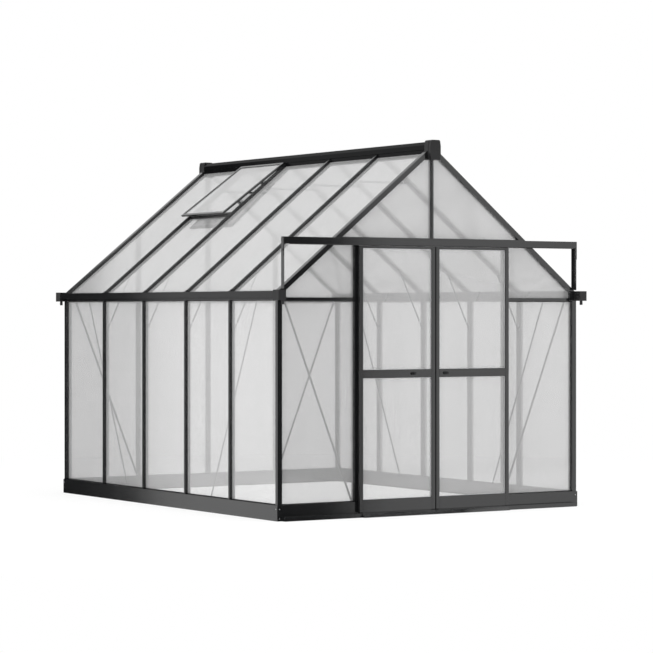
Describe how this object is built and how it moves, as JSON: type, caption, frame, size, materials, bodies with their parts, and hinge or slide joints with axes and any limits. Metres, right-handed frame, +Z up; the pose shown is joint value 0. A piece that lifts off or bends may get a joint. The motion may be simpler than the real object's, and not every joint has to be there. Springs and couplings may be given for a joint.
{
  "type": "polycarbonate greenhouse",
  "caption": "Free-standing gabled greenhouse with dark aluminium framing, twin-wall sheet glazing, sliding double doors, gutters and a roof vent.",
  "frame": {"origin": "centre of the base's footprint on the ground", "axes": "+Z up, +Y along the ridge towards the back, doors in the front gable at -Y"},
  "size_m": [2.5, 3.19, 2.4951],
  "materials": {
    "frame": "satin dark grey powder coat",
    "sheet": "twin-wall polycarbonate with fine vertical flutes",
    "moulding": "moulded black plastic",
    "brace": "flat strip, dark coat",
    "metal": "plain zinc-plated steel"
  },
  "bodies": {
    "frame": {"base_front": "frame", "base_back": "frame", "base_left": "frame", "base_right": "frame", "bottom_track": "frame", "threshold_ramp": "frame", "corner_posts": "frame", "left_posts": "frame", "right_posts": "frame", "door_posts": "frame", "back_posts": "frame", "left_eave_beam": "frame", "right_eave_beam": "frame", "left_gutter": "frame", "right_gutter": "frame", "gutter_ends": "moulding", "ridge_beam": "frame", "ridge_caps": "moulding", "gable_rafters": "frame", "left_rafters": "frame", "right_rafters": "frame", "gable_rails": "frame", "transom": "frame", "gable_post": "frame", "door_track": "frame", "track_struts": "frame", "track_brackets": "frame", "left_wall_panels": "sheet", "right_wall_panels": "sheet", "front_wall_panels": "sheet", "back_wall_panels": "sheet", "front_gable_panels": "sheet", "back_gable_panels": "sheet", "left_roof_panels": "sheet", "right_roof_panels": "sheet", "side_braces": "brace", "gable_braces": "brace", "knee_braces": "brace", "collar_ties": "brace", "vent_frame": "frame", "vent_panel": "sheet", "vent_sill": "frame", "vent_stay": "metal"},
    "left_leaf": {"door_left_stiles": "frame", "door_left_rails": "frame", "door_left_panels": "sheet", "door_left_hangers": "metal", "door_left_latch": "moulding"},
    "right_leaf": {"door_right_stiles": "frame", "door_right_rails": "frame", "door_right_panels": "sheet", "door_right_hangers": "metal", "door_right_latch": "moulding"}
  },
  "joints": [
    {"name": "door_left", "type": "slide", "parent": "frame", "child": "left_leaf", "axis": [-1, 0, 0], "range_m": [0, 0.55]},
    {"name": "door_right", "type": "slide", "parent": "frame", "child": "right_leaf", "axis": [1, 0, 0], "range_m": [0, 0.55]}
  ]
}
